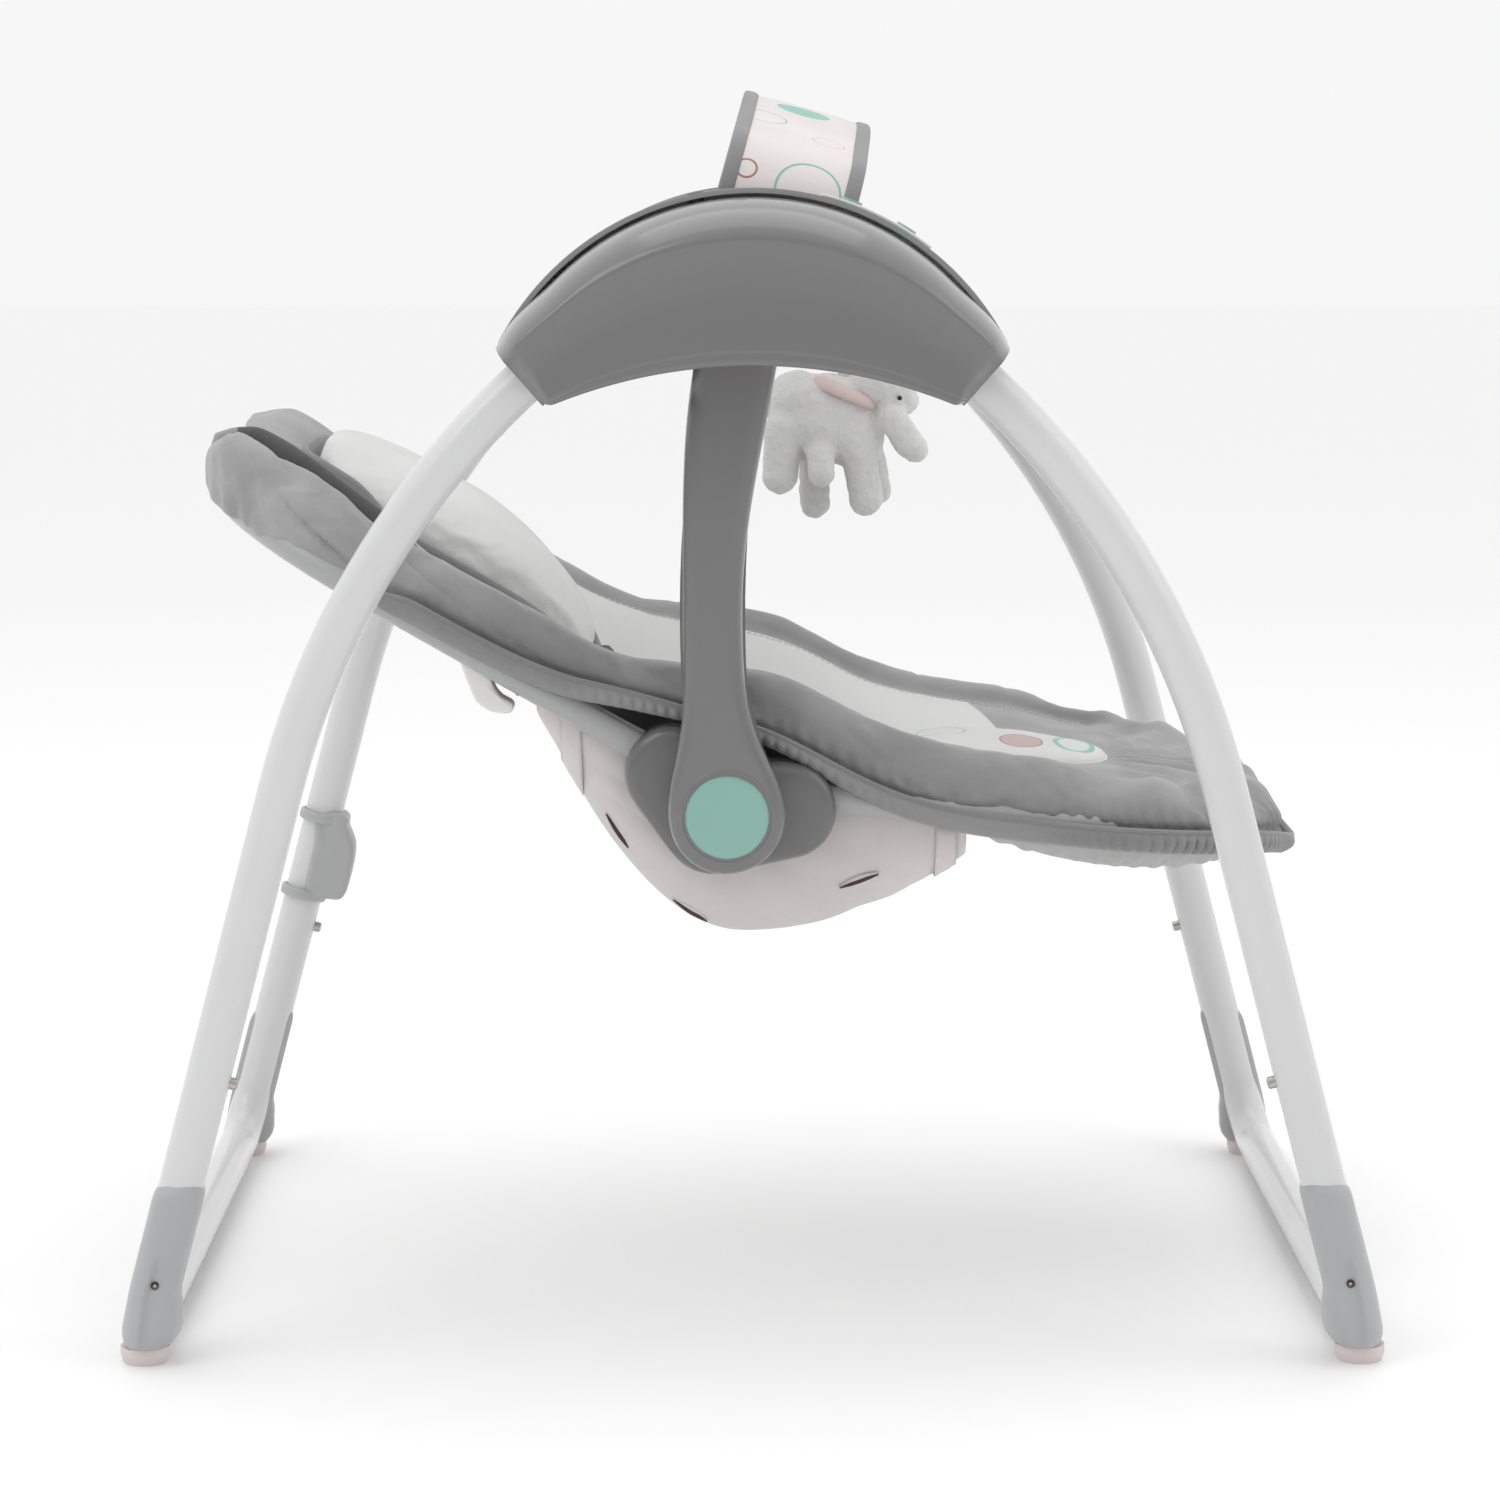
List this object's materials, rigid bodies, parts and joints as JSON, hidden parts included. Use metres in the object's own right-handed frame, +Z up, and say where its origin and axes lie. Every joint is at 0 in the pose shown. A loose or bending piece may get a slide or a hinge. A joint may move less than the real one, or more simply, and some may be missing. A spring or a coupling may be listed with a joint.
{
  "type": "baby swing",
  "caption": "Folding baby swing: curved tube frame, two top housings, reclining padded seat on swing arms, and a fabric toy bar with a plush toy.",
  "frame": {"origin": "on the floor, at the middle between the four feet", "axes": "+X towards the foot end of the seat, +Z up, +Y towards the far side"},
  "size_m": [0.717, 0.592, 0.716],
  "materials": {
    "housing_plastic": "moulded gloss grey",
    "top_plastic": "moulded light grey",
    "hub_plastic": "moulded dark grey",
    "foot_plastic": "fine satin texture",
    "mint_plastic": "satin mint",
    "white_plastic": "satin",
    "black_plastic": "satin",
    "nylon": "natural",
    "white_paint": "powder coat, gloss white",
    "grey_paint": "powder coat, light grey",
    "steel": "zinc plated",
    "magnet": "plain",
    "copper": "enamelled wire",
    "cell_wrap": "gloss",
    "circuit": "solder mask",
    "pad_rubber": "matt pale pink",
    "velour": "grey velour, quilted",
    "sling_cloth": "plain pinkish white",
    "white_cloth": "soft white knit",
    "printed_cloth": "white with mint and brown rings",
    "bar_cloth": "printed, grey binding",
    "webbing": "woven",
    "plush": "short white pile"
  },
  "bodies": {
    "top_frame": {"housing_outer_near": "housing_plastic", "housing_inner_near": "top_plastic", "housing_outer_far": "housing_plastic", "housing_inner_far": "top_plastic", "housing_screws": "steel", "swing_axles": "steel", "leg_pivot_pins": "steel", "control_board": "circuit", "drive_coil": "copper", "battery_cells": "cell_wrap", "battery_door": "top_plastic", "control_panel": "white_plastic", "dc_jack": "black_plastic"},
    "speed_button": {"speed_button": "mint_plastic"},
    "melody_button": {"melody_button": "mint_plastic"},
    "fold_button_near": {"fold_button_near": "mint_plastic"},
    "fold_button_far": {"fold_button_far": "mint_plastic"},
    "front_frame": {"front_leg_near": "white_paint", "front_leg_far": "white_paint", "front_base_tube": "white_paint", "front_foot_near": "foot_plastic", "front_foot_far": "foot_plastic", "front_foot_pads": "pad_rubber", "front_knuckles": "black_plastic", "front_foot_screws": "steel"},
    "rear_frame": {"rear_leg_near": "white_paint", "rear_leg_far": "white_paint", "rear_base_tube": "white_paint", "rear_foot_near": "foot_plastic", "rear_foot_far": "foot_plastic", "rear_foot_pads": "pad_rubber", "rear_knuckles": "black_plastic", "rear_foot_screws": "steel", "storage_clip": "foot_plastic"},
    "snap_front_near": {"snap_front_near": "steel"},
    "snap_front_far": {"snap_front_far": "steel"},
    "snap_rear_near": {"snap_rear_near": "steel"},
    "snap_rear_far": {"snap_rear_far": "steel"},
    "swing_arms": {"swing_arm_near": "housing_plastic", "swing_arm_far": "housing_plastic", "arm_covers": "housing_plastic", "arm_bushings": "nylon", "drive_magnet": "magnet"},
    "recline_button_near": {"recline_button_near": "mint_plastic"},
    "recline_button_far": {"recline_button_far": "mint_plastic"},
    "seat": {"hub_near": "hub_plastic", "hub_far": "hub_plastic", "hub_pins": "steel", "back_tube": "grey_paint", "leg_rest_tube": "grey_paint", "sling": "sling_cloth", "seat_cover": "velour", "centre_panel": "printed_cloth", "pillow": "white_cloth", "harness": "webbing", "buckle": "white_plastic", "strap_clips": "white_plastic"},
    "toy_bar": {"toy_bar": "bar_cloth", "toy_sockets": "housing_plastic"},
    "toy": {"plush_toy": "plush"}
  },
  "joints": [
    {"name": "front_fold", "type": "hinge", "parent": "top_frame", "child": "front_frame", "pos_m": [0.10496, 0, 0.57152], "axis": [0, 1, 0], "range_deg": [0, 28]},
    {"name": "rear_fold", "type": "hinge", "parent": "top_frame", "child": "rear_frame", "pos_m": [-0.10496, 0, 0.57152], "axis": [0, -1, 0], "range_deg": [0, 28]},
    {"name": "swing", "type": "hinge", "parent": "top_frame", "child": "swing_arms", "pos_m": [0, 0, 0.605], "axis": [0, 1, 0], "range_deg": [-20, 20]},
    {"name": "recline", "type": "hinge", "parent": "swing_arms", "child": "seat", "pos_m": [-0.0144, 0, 0.3069], "axis": [0, -1, 0], "range_deg": [0, 11.5]},
    {"name": "toy_bar_tilt", "type": "hinge", "parent": "top_frame", "child": "toy_bar", "pos_m": [0.004, 0, 0.596], "axis": [0, 1, 0], "range_deg": [-35, 20]},
    {"name": "toy_hang", "type": "hinge", "parent": "toy_bar", "child": "toy", "pos_m": [0.058, 0, 0.689], "axis": [0, 1, 0], "range_deg": [-20, 20]},
    {"name": "speed_button_press", "type": "slide", "parent": "top_frame", "child": "speed_button", "axis": [-0.342, 0, -0.9397], "range_m": [0, 0.0012], "stiffness_N_per_m": 400},
    {"name": "melody_button_press", "type": "slide", "parent": "top_frame", "child": "melody_button", "axis": [-0.5299, 0, -0.848], "range_m": [0, 0.0012], "stiffness_N_per_m": 400},
    {"name": "fold_button_near_press", "type": "slide", "parent": "top_frame", "child": "fold_button_near", "axis": [0, -1, 0], "range_m": [0, 0.0025], "stiffness_N_per_m": 400},
    {"name": "fold_button_far_press", "type": "slide", "parent": "top_frame", "child": "fold_button_far", "axis": [0, 1, 0], "range_m": [0, 0.0025], "stiffness_N_per_m": 400},
    {"name": "recline_button_near_press", "type": "slide", "parent": "swing_arms", "child": "recline_button_near", "axis": [0, 1, 0], "range_m": [0, 0.004], "stiffness_N_per_m": 600},
    {"name": "recline_button_far_press", "type": "slide", "parent": "swing_arms", "child": "recline_button_far", "axis": [0, -1, 0], "range_m": [0, 0.004], "stiffness_N_per_m": 600},
    {"name": "snap_front_near_press", "type": "slide", "parent": "front_frame", "child": "snap_front_near", "axis": [0.9673, 0, 0.2538], "range_m": [0, 0.004], "stiffness_N_per_m": 400},
    {"name": "snap_front_far_press", "type": "slide", "parent": "front_frame", "child": "snap_front_far", "axis": [0.9673, 0, 0.2538], "range_m": [0, 0.004], "stiffness_N_per_m": 400},
    {"name": "snap_rear_near_press", "type": "slide", "parent": "rear_frame", "child": "snap_rear_near", "axis": [-0.9673, 0, 0.2538], "range_m": [0, 0.004], "stiffness_N_per_m": 400},
    {"name": "snap_rear_far_press", "type": "slide", "parent": "rear_frame", "child": "snap_rear_far", "axis": [-0.9673, 0, 0.2538], "range_m": [0, 0.004], "stiffness_N_per_m": 400}
  ]
}
